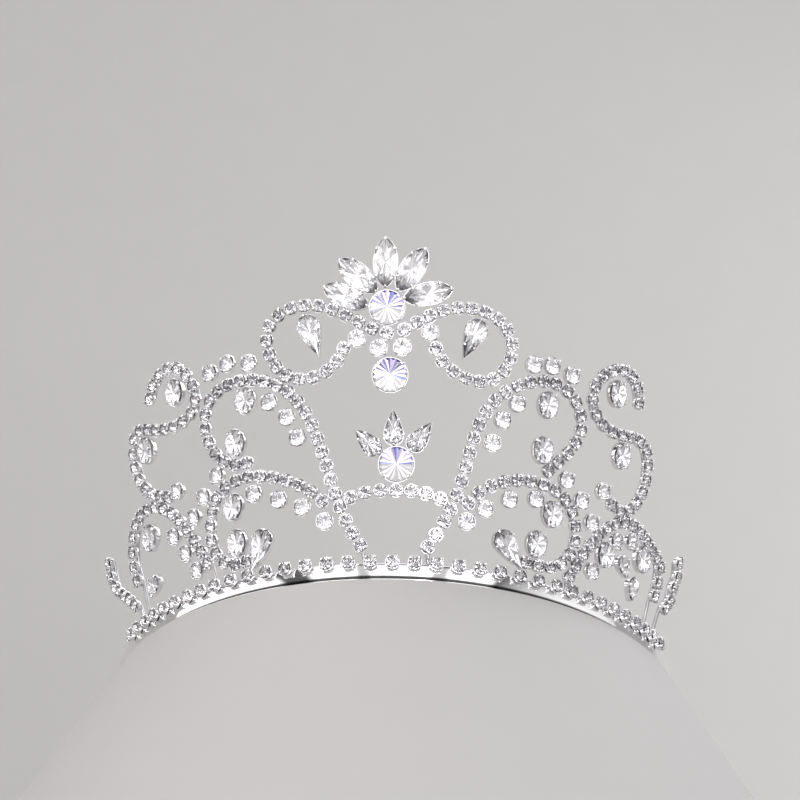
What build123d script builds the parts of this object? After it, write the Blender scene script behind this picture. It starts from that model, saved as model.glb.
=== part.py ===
"""Bridal tiara: a polished strip bent into a U, a row of crystals along its top edge, and a
flared openwork wall of crystal cup chain, soldered over backing wires, with navettes, pears,
ovals and large pointed rounds in their own prong settings.

Millimetres. +Z is up, -Y is the front of the head, +X is the viewer's right.
The origin is the middle of the band's lower edge at the forehead.
"""
import os
from bisect import bisect
from math import atan2, cos, degrees, hypot, pi, radians, sin, sqrt

from build123d import *

os.makedirs("parts", exist_ok=True)

# ---------------------------------------------------------------- driving dimensions
PLAN_HALF_WIDTH = 75.9  # the crystal line's half width in plan
PLAN_HALF_DEPTH = 95.0  # and its half depth, ear to forehead
FLARE = 15.0  # outward lean of the crystal wall, degrees

STRIP_HEIGHT = 4.3
STRIP_THICKNESS = 0.8
STRIP_INSET = 1.65  # from the crystal line back to the band's outer face
TAIL_LENGTH = 9.0  # straight tails behind the widest point
TAIL_FILLET = STRIP_HEIGHT / 2 - 0.05  # just short of a full half round
EYE_RADIUS = 1.2  # hairpin eye punched in each tail
PLAN_CENTRE = PLAN_HALF_DEPTH - STRIP_INSET - STRIP_THICKNESS / 2  # y of the widest point

ROW_PITCH = 5.57  # crystals along the band
ROW_SHIFT = -0.78  # the row sits a little off the centre plane
ROW_COUNT_EACH_SIDE = 17

# Heights in a setting are measured from the chain crystals' girdle, positive to the front.
BASE_Z = -1.55  # back of every setting
FLOOR = 0.25  # thickness of a tray's floor
WALL = 0.25  # thickness of a tray's wall
TRAY_DROP = 0.5  # the tray's wall stops this far below the girdle
TRAY_CUT = 4  # depth of the hollowing cut, well past the tray's rim
CRYSTAL_PLAY = 0.1  # a crystal is this much shorter and narrower than its tray's hollow
CULET_SCALE = 0.15  # a crystal's back face against its girdle

PRONG_HALF_WIDTH = 0.4
PRONG_LEAN = 0.32  # how far a prong's end leans in over the crystal
PRONG_RISE = 0.5  # height of that leaning end above the girdle

WIRE_RADIUS = 0.45  # backing wire
WIRE_GAP = 0.02  # between the wire and the back of the settings
WIRE_OFFSET = BASE_Z - WIRE_RADIUS - WIRE_GAP  # the wire's centre line
FOOT_HEIGHT = -0.35  # end of a wire's foot, up the wall from the crystal row

GIRDLE_CHAIN = 0.0  # height of each kind's girdle
GIRDLE_ROUND = 0.25
GIRDLE_RIVOLI = 0.4
GIRDLE_FANCY = 0.5

# Outer length and width of each kind of setting
CHAIN = (3.56, 3.56)
ROUND = (4.7, 4.7)
RIVOLI = (9.2, 9.2)
NAVETTE_LONG = (12.4, 5.85)
NAVETTE_SHORT = (12.2, 5.4)
PEAR = (11.4, 6.0)
PEAR_CROWN = (9.2, 5.3)
DROPLET = (6.4, 4.4)
OVAL = (7.3, 6.0)

# How much shorter and narrower the hollow is than the tray
RING_INSET = (2 * WALL, 2 * WALL)
NAVETTE_INSET = (0.95, 0.52)
PEAR_INSET = (0.8, 0.52)
OVAL_INSET = (0.52, 0.52)

# Outline edges that carry a prong
OCTAGON_PRONGS = (0, 2, 4, 6)
SIXTEEN_PRONGS = (1, 5, 9, 13)
NAVETTE_PRONGS = (3, 6, 13, 16)
PEAR_PRONGS = (2, 6, 11, 15)
OVAL_PRONGS = (1, 5, 8, 12)

# ---------------------------------------------------------------- layout of the wall
# Each entry is (along the band from the centre, up the wall from the crystal row) in mm;
# settings with a direction add the angle of their long axis in degrees, tip end first.

LEFT_LOOP = [
    (-2.76, 56.63), (-5.66, 57.83), (-8.33, 59.59), (-10.92, 61.40), (-13.56, 63.04),
    (-16.34, 64.28), (-19.25, 64.81), (-22.17, 64.51), (-24.94, 63.29), (-27.18, 60.89),
    (-28.14, 57.39), (-27.75, 53.71), (-26.37, 50.40), (-24.15, 47.81), (-21.30, 46.45),
    (-18.23, 46.51), (-15.38, 47.75), (-13.04, 50.03), (-11.55, 53.15),
]
RIGHT_LOOP = [
    (0.74, 57.64), (3.22, 59.53), (5.75, 61.31), (8.39, 62.82), (11.18, 63.84), (14.04, 64.11),
    (16.89, 63.59), (19.58, 62.25), (21.85, 59.98), (23.17, 56.71), (23.19, 53.07), (22.05, 49.69),
    (19.86, 47.15), (16.93, 46.10), (13.91, 46.50), (11.12, 47.90), (8.78, 50.17), (7.30, 53.30),
]
CENTRE_ARCH = [
    (-10.80, 15.86), (-7.35, 16.86), (-3.81, 17.38), (-0.26, 17.43), (3.30, 17.45), (6.80, 16.96),
    (10.15, 15.94),
]
LEFT_MAIN_SCROLL = [
    (-35.95, 27.82), (-39.24, 28.13), (-42.22, 29.68), (-44.52, 32.26), (-45.96, 35.49),
    (-46.50, 39.05), (-46.00, 42.64), (-44.26, 45.68), (-41.59, 47.56), (-38.56, 48.48),
    (-35.45, 48.67), (-32.38, 48.28), (-29.41, 47.32), (-26.64, 45.73), (-24.18, 43.52),
    (-22.12, 40.79), (-20.45, 37.69), (-19.12, 34.41), (-18.03, 30.98), (-17.10, 27.51),
    (-16.25, 24.02), (-15.41, 20.48), (-14.49, 16.96), (-13.42, 13.53), (-12.12, 10.16),
    (-10.55, 6.92), (-8.69, 3.80),
]
RIGHT_MAIN_SCROLL = [
    (35.85, 27.34), (38.13, 30.08), (40.27, 32.96), (42.03, 36.13), (42.92, 39.71), (42.21, 43.32),
    (40.25, 46.28), (37.59, 48.32), (34.52, 49.28), (31.38, 49.17), (28.32, 48.22), (25.49, 46.63),
    (22.92, 44.48), (20.71, 41.84), (18.96, 38.71), (17.70, 35.30), (16.81, 31.72), (16.14, 28.05),
    (15.53, 24.39), (14.82, 20.73), (13.89, 17.12), (12.72, 13.59), (11.28, 10.22), (9.61, 6.94),
    (7.74, 3.77),
]
LEFT_LOWER_ARCH = [
    (-17.61, 15.50), (-20.24, 17.94), (-23.15, 19.96), (-26.24, 21.60), (-29.46, 22.89),
    (-32.80, 23.79), (-36.20, 24.22), (-39.61, 24.07), (-42.92, 23.08), (-45.82, 21.05),
    (-47.93, 18.10), (-49.18, 14.65), (-49.48, 10.99), (-48.62, 7.47), (-46.32, 4.73),
    (-42.98, 3.46), (-39.29, 3.58),
]
RIGHT_LOWER_ARCH = [
    (16.89, 15.48), (19.10, 18.39), (21.90, 20.58), (25.02, 22.15), (28.34, 23.17), (31.76, 23.68),
    (35.22, 23.62), (38.64, 22.91), (41.81, 21.40), (44.45, 18.94), (46.24, 15.74), (46.89, 12.12),
    (46.07, 8.57), (43.91, 5.66), (40.76, 3.87), (37.07, 3.43), (33.51, 3.50),
]
LEFT_S_SCROLL = [
    (-63.02, 52.27), (-60.98, 55.06), (-58.26, 56.91), (-55.19, 57.66), (-52.19, 56.74),
    (-49.90, 54.25), (-48.50, 50.98), (-48.28, 47.32), (-50.07, 44.33), (-53.04, 42.98),
    (-56.24, 42.66), (-59.47, 43.01), (-62.61, 43.88), (-65.69, 45.09), (-68.84, 45.92),
    (-71.84, 44.56), (-73.34, 41.32), (-73.63, 37.71), (-72.76, 34.22), (-70.95, 31.19),
    (-68.47, 28.78), (-65.49, 27.13), (-62.33, 25.91),
]
RIGHT_S_SCROLL = [
    (58.49, 52.23), (57.21, 55.56), (54.77, 57.85), (51.72, 58.40), (48.81, 57.26), (46.38, 55.00),
    (44.76, 51.88), (44.70, 48.24), (46.29, 45.09), (48.91, 43.04), (52.03, 42.26), (55.26, 42.51),
    (58.46, 43.03), (61.69, 43.11), (64.64, 41.56), (66.41, 38.48), (67.02, 34.90), (66.65, 31.30),
    (65.38, 27.96), (63.12, 25.28), (59.89, 23.94), (56.56, 24.56),
]
LEFT_REAR_ARCH = [
    (-83.53, 10.60), (-83.91, 14.38), (-83.01, 18.06), (-81.15, 21.33), (-78.46, 23.83),
    (-75.22, 25.29), (-71.73, 25.70), (-68.24, 25.06), (-64.95, 23.57), (-62.00, 21.47),
    (-59.51, 18.80), (-57.34, 15.80), (-55.42, 12.58), (-53.65, 9.23), (-51.97, 5.84),
]
RIGHT_REAR_ARCH = [
    (47.14, 2.85), (48.66, 6.13), (50.26, 9.42), (52.06, 12.58), (54.11, 15.56), (56.52, 18.22),
    (59.32, 20.38), (62.56, 21.72), (66.04, 22.12), (69.48, 21.54), (72.83, 20.50), (76.14, 19.30),
    (79.50, 18.21), (82.64, 16.51), (83.38, 12.87), (83.37, 9.15),
]
LEFT_END_HOOK = [
    (-100.69, 21.46), (-101.16, 17.76), (-99.52, 14.44), (-96.82, 11.95), (-93.81, 9.87),
    (-90.78, 7.80), (-88.06, 5.29),
]
RIGHT_END_HOOK = [
    (92.76, 21.77), (94.23, 18.51), (93.37, 15.01), (93.49, 11.41), (91.19, 8.68),
]
CREST_NAVETTES_LONG = [(-3.08, 74.55, 90), (-8.41, 71.31, 138), (1.99, 72.82, 58)]
CREST_NAVETTES_SHORT = [(-10.96, 66.27, 153), (5.38, 66.84, 14)]
CROWN_PEARS = [(-1.05, 33.06, 92), (-6.79, 29.55, 134), (4.98, 30.98, 55)]
LEFT_DROPLETS = [(-74.60, 6.14, -132)]
LEFT_OVALS = [
    (-34.50, 43.45, 83), (-38.33, 33.41, 82), (-41.08, 17.69, 66), (-41.31, 8.55, 81),
    (-53.92, 51.00, 77), (-66.99, 39.95, 93), (-72.15, 18.33, 70),
]
LEFT_PEARS = [(-18.09, 57.03, -73), (-35.11, 5.45, -117)]
LEFT_ROUNDS = [
    (-8.70, 55.44, 90), (-43.00, 52.72, 90), (-38.15, 53.83, 90), (-32.80, 52.67, 90),
    (-28.77, 41.88, 90), (-24.81, 37.39, 90), (-22.66, 31.92, 90), (-44.88, 26.67, 90),
    (-35.03, 19.73, 90), (-28.54, 17.18, 90), (-22.64, 14.47, 90), (-17.23, 10.28, 90),
    (-49.84, 22.42, 90), (-58.49, 26.39, 90), (-62.50, 15.56, 90), (-59.00, 10.23, 90),
    (-55.97, 4.93, 90), (-54.09, 18.25, 90),
]
PENDANT_ROUNDS = [(-4.29, 52.90, 90), (0.45, 53.18, 90)]
RIGHT_DROPLETS = [(65.18, 10.86, -49), (70.88, 6.73, -84)]
RIGHT_OVALS = [
    (33.18, 43.51, 100), (33.49, 32.00, 100), (38.65, 16.87, 111), (35.56, 8.57, 100),
    (51.02, 51.91, 105), (56.09, 37.22, 100), (57.54, 11.62, 108), (72.35, 15.23, 115),
]
RIGHT_PEARS = [(14.58, 56.40, -110), (28.38, 5.64, -46)]
RIGHT_ROUNDS = [
    (5.95, 57.13, 90), (28.58, 52.71, 90), (32.89, 53.46, 90), (37.99, 52.49, 90),
    (25.95, 42.15, 90), (22.97, 37.39, 90), (21.08, 31.25, 90), (41.18, 26.36, 90),
    (16.81, 10.95, 90), (21.01, 14.66, 90), (26.84, 18.05, 90), (33.69, 19.62, 90),
    (46.46, 22.52, 90), (52.65, 26.76, 90), (60.82, 16.16, 90), (66.56, 17.98, 90),
    (50.88, 18.06, 90), (54.19, 6.50, 90),
]
RIVOLIS = [(-2.70, 63.06, 90), (-1.95, 46.12, 90), (-0.28, 23.86, 90)]


# ---------------------------------------------------------------- the flared wall as a surface
# Lengths along the plan ellipse, so that spacings on the flat layout hold on the bent wall.
STEPS = 4000
END_ANGLE = 2.4  # the ellipse is measured this far each way from the front, radians
ANGLES = [-END_ANGLE + 2 * END_ANGLE * i / STEPS for i in range(STEPS + 1)]


def lengths_from_front():
    """Length along the ellipse at each of ANGLES, zero at the front."""
    lengths = [0.0]
    for start, end in zip(ANGLES[:-1], ANGLES[1:]):
        step_x = PLAN_HALF_WIDTH * (sin(end) - sin(start))
        step_y = PLAN_HALF_DEPTH * (cos(end) - cos(start))
        lengths.append(lengths[-1] + hypot(step_x, step_y))
    return [length - lengths[STEPS // 2] for length in lengths]


LENGTHS = lengths_from_front()


def plan_point(along):
    """Point of the crystal line at a length along it, and its outward direction in plan."""
    i = min(max(bisect(LENGTHS, along) - 1, 0), STEPS - 1)
    fraction = (along - LENGTHS[i]) / (LENGTHS[i + 1] - LENGTHS[i])
    angle = ANGLES[i] + fraction * (ANGLES[i + 1] - ANGLES[i])
    x = PLAN_HALF_WIDTH * sin(angle)
    y = PLAN_CENTRE - PLAN_HALF_DEPTH * cos(angle)
    out_x = PLAN_HALF_DEPTH * sin(angle)
    out_y = -PLAN_HALF_WIDTH * cos(angle)
    size = hypot(out_x, out_y)
    return x, y, out_x / size, out_y / size


def seat(along, height, angle=0.0, proud=0.0, lean=FLARE):
    """Plane of a setting: z points out of the wall, x along the long axis."""
    x, y, out_x, out_y = plan_point(along)
    lean_cos = cos(radians(lean))
    lean_sin = sin(radians(lean))
    out = height * lean_sin + proud * lean_cos
    z = STRIP_HEIGHT + height * lean_cos - proud * lean_sin
    sideways = Vector(-out_y, out_x, 0)
    up = Vector(out_x * lean_sin, out_y * lean_sin, lean_cos)
    turn = radians(angle)
    return Plane(
        origin=Vector(x + out_x * out, y + out_y * out, z),
        x_dir=sideways * cos(turn) + up * sin(turn),
        z_dir=Vector(out_x * lean_cos, out_y * lean_cos, -lean_sin),
    )


def chain_seats(chain):
    """One plane per chain cup, each turned to face along its chain."""
    planes = []
    for i, (along, height) in enumerate(chain):
        along_before, height_before = chain[max(i - 1, 0)]
        along_after, height_after = chain[min(i + 1, len(chain) - 1)]
        angle = degrees(atan2(height_after - height_before, along_after - along_before))
        planes.append(seat(along, height, angle))
    return planes


def stone_seats(stones):
    return [seat(along, height, angle) for along, height, angle in stones]


# ---------------------------------------------------------------- outlines of the settings
def ellipse_points(length, width, count, first=0.0):
    """Evenly stepped points round an ellipse; first is the starting point's place, in steps."""
    turns = [2 * pi * (i + first) / count for i in range(count)]
    return [(length / 2 * cos(turn), width / 2 * sin(turn)) for turn in turns]


def octagon_points(length, width):
    return ellipse_points(length, width, 8, first=0.5)


def sixteen_points(length, width):
    return ellipse_points(length, width, 16, first=0.5)


def oval_points(length, width):
    return ellipse_points(length, width, 14)


def navette_points(length, width, steps=5):
    """Two arcs meeting in a tip at each end; steps is the number of edges on half an arc."""
    half_length, half_width = length / 2, width / 2
    radius = (half_length**2 + half_width**2) / (2 * half_width)
    upper = []
    for i in range(-steps, steps + 1):
        x = half_length * i / steps
        upper.append((x, sqrt(radius * radius - x * x) - (radius - half_width)))
    return upper + [(x, -y) for x, y in reversed(upper[1:-1])]


def pear_points(length, width):
    """Round head at -x, tip at +x."""
    radius = width / 2
    head = -length / 2 + radius
    upper = [
        (head - radius * cos(radians(angle)), radius * sin(radians(angle)))
        for angle in (22, 45, 68, 90)
    ]
    for k in (0.22, 0.42, 0.62, 0.82):
        upper.append((head + k * (length - radius), radius * (1 - k**1.25)))
    lower = [(x, -y) for x, y in reversed(upper)]
    return [(-length / 2, 0)] + upper + [(length / 2, 0)] + lower


def shrunk(size, inset):
    return size[0] - inset[0], size[1] - inset[1]


def scaled(points, factor):
    return [(x * factor, y * factor) for x, y in points]


# ---------------------------------------------------------------- settings and crystals
# Every setting is a tray with a floor; prongs stand on its wall, straight up to the girdle and
# then leaning in over the crystal. A crystal is a crown and a pavilion meeting at the girdle.
def prong_planes(points, edges):
    """Upright planes on the middles of the chosen edges of an outline, x pointing outward."""
    planes = []
    for i in edges:
        x0, y0 = points[i]
        x1, y1 = points[(i + 1) % len(points)]
        middle_x, middle_y = (x0 + x1) / 2, (y0 + y1) / 2
        size = hypot(x1 - x0, y1 - y0)
        out_x, out_y = (y1 - y0) / size, (x0 - x1) / size
        if out_x * middle_x + out_y * middle_y < 0:
            out_x, out_y = -out_x, -out_y
        planes.append(
            Plane(origin=(middle_x, middle_y, 0), x_dir=(out_x, out_y, 0), z_dir=(out_y, -out_x, 0))
        )
    return planes


def prong_profile(girdle):
    """Side view of a prong, x = 0 on the tray's outer face."""
    return [
        (-WALL, girdle - TRAY_DROP),
        (0, girdle - TRAY_DROP),
        (0, girdle),
        (-PRONG_LEAN, girdle + PRONG_RISE),
        (-PRONG_LEAN - WALL, girdle + PRONG_RISE),
        (-WALL, girdle),
    ]


def make_cup(outer, hollow, girdle, prong_edges, prong_half_width):
    with BuildPart() as cup:
        with BuildSketch(Plane.XY.offset(BASE_Z)):
            Polygon(*outer, align=None)
        extrude(amount=girdle - TRAY_DROP - BASE_Z)
        with BuildSketch(Plane.XY.offset(BASE_Z + FLOOR)):
            Polygon(*hollow, align=None)
        extrude(amount=TRAY_CUT, mode=Mode.SUBTRACT)
        with BuildSketch(*prong_planes(outer, prong_edges)):
            Polygon(*prong_profile(girdle), align=None)
        extrude(amount=prong_half_width, both=True)
    return cup.part


def make_crystal(outline, girdle, crown, pavilion, table_scale):
    with BuildPart() as crystal:
        # crown
        with BuildSketch(Plane.XY.offset(girdle)):
            Polygon(*outline, align=None)
        with BuildSketch(Plane.XY.offset(girdle + crown)):
            Polygon(*scaled(outline, table_scale), align=None)
        loft(ruled=True)
        # pavilion
        with BuildSketch(Plane.XY.offset(girdle - pavilion)):
            Polygon(*scaled(outline, CULET_SCALE), align=None)
        with BuildSketch(Plane.XY.offset(girdle)):
            Polygon(*outline, align=None)
        loft(ruled=True)
    return crystal.part


def make_setting(
    outline, size, inset, prong_edges, girdle=GIRDLE_FANCY, crown=0.6, pavilion=1.7,
    table_scale=0.6, prong_half_width=PRONG_HALF_WIDTH,
):
    """A cup and its crystal. Crown and pavilion are heights in front of and behind the girdle;
    table_scale is the crystal's front face against its girdle."""
    hollow_size = shrunk(size, inset)
    crystal_size = shrunk(hollow_size, (CRYSTAL_PLAY, CRYSTAL_PLAY))
    cup = make_cup(outline(*size), outline(*hollow_size), girdle, prong_edges, prong_half_width)
    crystal = make_crystal(outline(*crystal_size), girdle, crown, pavilion, table_scale)
    return cup, crystal


chain_setting = make_setting(
    octagon_points, CHAIN, RING_INSET, OCTAGON_PRONGS,
    girdle=GIRDLE_CHAIN, crown=0.42, pavilion=1.15,
)
round_setting = make_setting(
    octagon_points, ROUND, RING_INSET, OCTAGON_PRONGS, girdle=GIRDLE_ROUND, pavilion=1.4
)
rivoli_setting = make_setting(
    sixteen_points, RIVOLI, RING_INSET, SIXTEEN_PRONGS,
    girdle=GIRDLE_RIVOLI, crown=1.0, pavilion=1.55, table_scale=0.14,
    prong_half_width=1.5 * PRONG_HALF_WIDTH,
)
navette_long_setting = make_setting(navette_points, NAVETTE_LONG, NAVETTE_INSET, NAVETTE_PRONGS)
navette_short_setting = make_setting(
    navette_points, NAVETTE_SHORT, NAVETTE_INSET, NAVETTE_PRONGS, pavilion=1.65
)
pear_setting = make_setting(pear_points, PEAR, PEAR_INSET, PEAR_PRONGS)
pear_crown_setting = make_setting(pear_points, PEAR_CROWN, PEAR_INSET, PEAR_PRONGS)
droplet_setting = make_setting(
    pear_points, DROPLET, PEAR_INSET, PEAR_PRONGS, crown=0.5, pavilion=1.6
)
oval_setting = make_setting(oval_points, OVAL, OVAL_INSET, OVAL_PRONGS)


# ---------------------------------------------------------------- writing the pieces
def export_piece(name, part):
    part.label = name
    export_step(part, f"parts/{name}.step", write_pcurves=False)


def export_placed(name, groups):
    """One piece from groups of (shape, planes to place it on)."""
    with BuildPart() as piece:
        for shape, planes in groups:
            with Locations(*planes):
                add(shape, clean=False)
    export_piece(name, piece.part)


def export_settings(name, groups, cup_word):
    """A piece of cups and a piece of crystals, from groups of (setting, planes)."""
    export_placed(f"{name}_{cup_word}", [(cup, planes) for (cup, _), planes in groups])
    export_placed(f"{name}_crystals", [(crystal, planes) for (_, crystal), planes in groups])


# ---------------------------------------------------------------- headband
def make_headband():
    """Half an ellipse from temple to temple with straight tails behind it, flat top and bottom.
    Each tail's end is rounded and carries a punched hairpin eye."""
    outer = (PLAN_HALF_WIDTH - STRIP_INSET, PLAN_HALF_DEPTH - STRIP_INSET)
    inner = (outer[0] - STRIP_THICKNESS, outer[1] - STRIP_THICKNESS)
    tail_x = (outer[0] + inner[0]) / 2
    tail_y = PLAN_CENTRE + TAIL_LENGTH / 2
    with BuildPart() as headband:
        with BuildSketch():
            with Locations((0, PLAN_CENTRE)):
                Ellipse(outer[0], outer[1])
                Ellipse(inner[0], inner[1], mode=Mode.SUBTRACT)
            # cut away the rear half
            with Locations((0, PLAN_CENTRE + PLAN_HALF_DEPTH / 2)):
                Rectangle(2 * PLAN_HALF_WIDTH, PLAN_HALF_DEPTH, mode=Mode.SUBTRACT)
            with Locations((-tail_x, tail_y), (tail_x, tail_y)):
                Rectangle(STRIP_THICKNESS, TAIL_LENGTH)
        extrude(amount=STRIP_HEIGHT)
        # rounded tail ends
        fillet(headband.edges().filter_by(Axis.X).group_by(Axis.Y)[-1], radius=TAIL_FILLET)
        # hairpin eyes
        with BuildSketch(Plane.YZ):
            with Locations((PLAN_CENTRE + TAIL_LENGTH - STRIP_HEIGHT / 2, STRIP_HEIGHT / 2)):
                Circle(EYE_RADIUS)
        extrude(amount=PLAN_HALF_WIDTH, both=True, mode=Mode.SUBTRACT)
    return headband.part


export_piece("headband", make_headband())

# ---------------------------------------------------------------- crystal row on the band
row_seats = [
    seat(ROW_SHIFT + i * ROW_PITCH, 0, lean=0)
    for i in range(-ROW_COUNT_EACH_SIDE, ROW_COUNT_EACH_SIDE + 1)
]
export_settings("base_row", [(chain_setting, row_seats)], "cups")

# ---------------------------------------------------------------- cup chains
# Each entry is (name, chain, foot at its start, foot at its end). A foot is given by its
# distance along the band from the chain's end cup; None means the wire has no foot there.
CHAINS = [
    ("centre_arch", CENTRE_ARCH, None, None),
    ("left_loop", LEFT_LOOP, None, None),
    ("left_main_scroll", LEFT_MAIN_SCROLL, None, 0.8),
    ("left_lower_arch", LEFT_LOWER_ARCH, None, None),
    ("left_s_scroll", LEFT_S_SCROLL, None, None),
    ("left_rear_arch", LEFT_REAR_ARCH, 0.2, 0.8),
    ("right_loop", RIGHT_LOOP, None, None),
    ("right_main_scroll", RIGHT_MAIN_SCROLL, None, 0.6),
    ("right_lower_arch", RIGHT_LOWER_ARCH, None, None),
    ("right_s_scroll", RIGHT_S_SCROLL, None, None),
    ("right_rear_arch", RIGHT_REAR_ARCH, 0.0, 0.5),
]
LEFT_HOOK_FOOT = 1.2
RIGHT_HOOK_FOOT = -0.8

for name, chain, _, _ in CHAINS:
    export_settings(name, [(chain_setting, chain_seats(chain))], "cups")
hook_seats = chain_seats(LEFT_END_HOOK) + chain_seats(RIGHT_END_HOOK)
export_settings("end_hook", [(chain_setting, hook_seats)], "cups")

# ---------------------------------------------------------------- larger crystals
# Each piece is a list of (setting, stones).
STONES = {
    "crest_navette": [
        (navette_long_setting, CREST_NAVETTES_LONG),
        (navette_short_setting, CREST_NAVETTES_SHORT),
    ],
    "rivoli": [(rivoli_setting, RIVOLIS)],
    "pendant_round": [(round_setting, PENDANT_ROUNDS)],
    "crown_pear": [(pear_crown_setting, CROWN_PEARS)],
    "left_pear": [(pear_setting, LEFT_PEARS), (droplet_setting, LEFT_DROPLETS)],
    "left_oval": [(oval_setting, LEFT_OVALS)],
    "left_round": [(round_setting, LEFT_ROUNDS)],
    "right_pear": [(pear_setting, RIGHT_PEARS), (droplet_setting, RIGHT_DROPLETS)],
    "right_oval": [(oval_setting, RIGHT_OVALS)],
    "right_round": [(round_setting, RIGHT_ROUNDS)],
}

for name, groups in STONES.items():
    placed = [(setting, stone_seats(stones)) for setting, stones in groups]
    export_settings(name, placed, "settings")


# ---------------------------------------------------------------- backing wires
# A wire runs behind each chain; where a chain comes down to the band its wire runs on as a
# foot that stands on the band's top edge.
def wire_points(chain, start_foot=None, end_foot=None):
    """Centre line of a backing wire: both its ends, and every other station between."""
    stations = list(chain)
    if start_foot is not None:
        stations.insert(0, (chain[0][0] + start_foot, FOOT_HEIGHT))
    if end_foot is not None:
        stations.append((chain[-1][0] + end_foot, FOOT_HEIGHT))
    kept = stations[:1] + stations[2:-2:2] + stations[-1:]
    return [seat(along, height, proud=WIRE_OFFSET).origin for along, height in kept]


def export_wires(name, *centre_lines):
    with BuildPart() as wires:
        for points in centre_lines:
            with BuildLine() as path:
                Spline(*points)
            with BuildSketch(Plane(origin=path.line @ 0, z_dir=path.line % 0)):
                Circle(WIRE_RADIUS)
            sweep(path=path.wire())
    export_piece(name, wires.part)


for name, chain, start_foot, end_foot in CHAINS:
    export_wires(f"{name}_wire", wire_points(chain, start_foot, end_foot))
export_wires(
    "end_hook_wires",
    wire_points(LEFT_END_HOOK, end_foot=LEFT_HOOK_FOOT),
    wire_points(RIGHT_END_HOOK, end_foot=RIGHT_HOOK_FOOT),
)
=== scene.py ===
"""A crystal tiara: a polished half-ellipse band carrying a row of crystals and an openwork wall.

The band stands on z = 0 with its closed front towards -y and its open ends towards +y;
"left" is -x. The wall of cup chains and larger stones rises from the band's top edge and
flares outward. Layout is in mm and is scaled to metres when a mesh is made.
"""
from bisect import bisect
from itertools import combinations
from math import atan2, cos, hypot, pi, radians, sin, sqrt, tan

import bmesh
import bpy
from mathutils import Matrix, Vector


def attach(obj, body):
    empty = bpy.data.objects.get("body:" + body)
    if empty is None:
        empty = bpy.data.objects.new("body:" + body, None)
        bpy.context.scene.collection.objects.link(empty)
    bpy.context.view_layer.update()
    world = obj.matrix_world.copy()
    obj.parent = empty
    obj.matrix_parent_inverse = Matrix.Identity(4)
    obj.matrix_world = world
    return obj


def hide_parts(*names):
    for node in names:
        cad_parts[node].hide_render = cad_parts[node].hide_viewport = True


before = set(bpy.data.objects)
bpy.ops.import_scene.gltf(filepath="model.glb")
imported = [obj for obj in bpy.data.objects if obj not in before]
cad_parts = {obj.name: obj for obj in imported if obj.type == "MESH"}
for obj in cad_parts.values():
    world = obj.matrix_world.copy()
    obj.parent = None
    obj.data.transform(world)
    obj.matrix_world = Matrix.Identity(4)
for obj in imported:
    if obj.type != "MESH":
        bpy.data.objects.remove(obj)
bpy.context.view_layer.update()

MM = 0.001

# ------------------------------------------------------------------ main dimensions, mm
PLAN_HALF_WIDTH = 75.9    # ellipse that the settings stand on
PLAN_HALF_DEPTH = 95.0
FLARE = 15.0              # degrees the wall leans outward
STRIP_HEIGHT = 4.3
STRIP_THICKNESS = 0.8
STRIP_INSET = 1.65        # strip's outer face, inside the plan ellipse
STRIP_OUTER = (PLAN_HALF_WIDTH - STRIP_INSET, PLAN_HALF_DEPTH - STRIP_INSET)
STRIP_INNER = (STRIP_OUTER[0] - STRIP_THICKNESS, STRIP_OUTER[1] - STRIP_THICKNESS)
STRIP_EDGE_RADIUS = 0.22
TAIL_LENGTH = 9.0
EYE_RADIUS = 1.2
PLAN_CENTRE = PLAN_HALF_DEPTH - STRIP_INSET - STRIP_THICKNESS / 2   # y of the ellipse's centre

ROW_PITCH = 5.57
ROW_SHIFT = -0.78
ROW_COUNT_EACH_SIDE = 17

# Offsets out of the wall, from the plane of the settings
CUP_BASE = -1.55
WIRE_OFFSET = -2.02
LINK_OFFSET = -0.95
SOLDER_OFFSET = -1.0

WIRE_RADIUS = 0.45
LINK_RADIUS = 0.34
LINK_MAX_GAP = 4.2        # cups further apart than this have no link
FOOT = -0.35              # wall height at which a wire ends on the band

CHAIN_CUP_RADIUS = 1.78
LONG_NAVETTE = (12.9, 6.45)    # length, width
SHORT_NAVETTE = (12.7, 6.0)
LARGE_PEAR = (11.4, 6.0)
CROWN_PEAR = (9.2, 5.3)
DROPLET = (6.4, 4.4)
OVAL = (7.3, 6.0)

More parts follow.
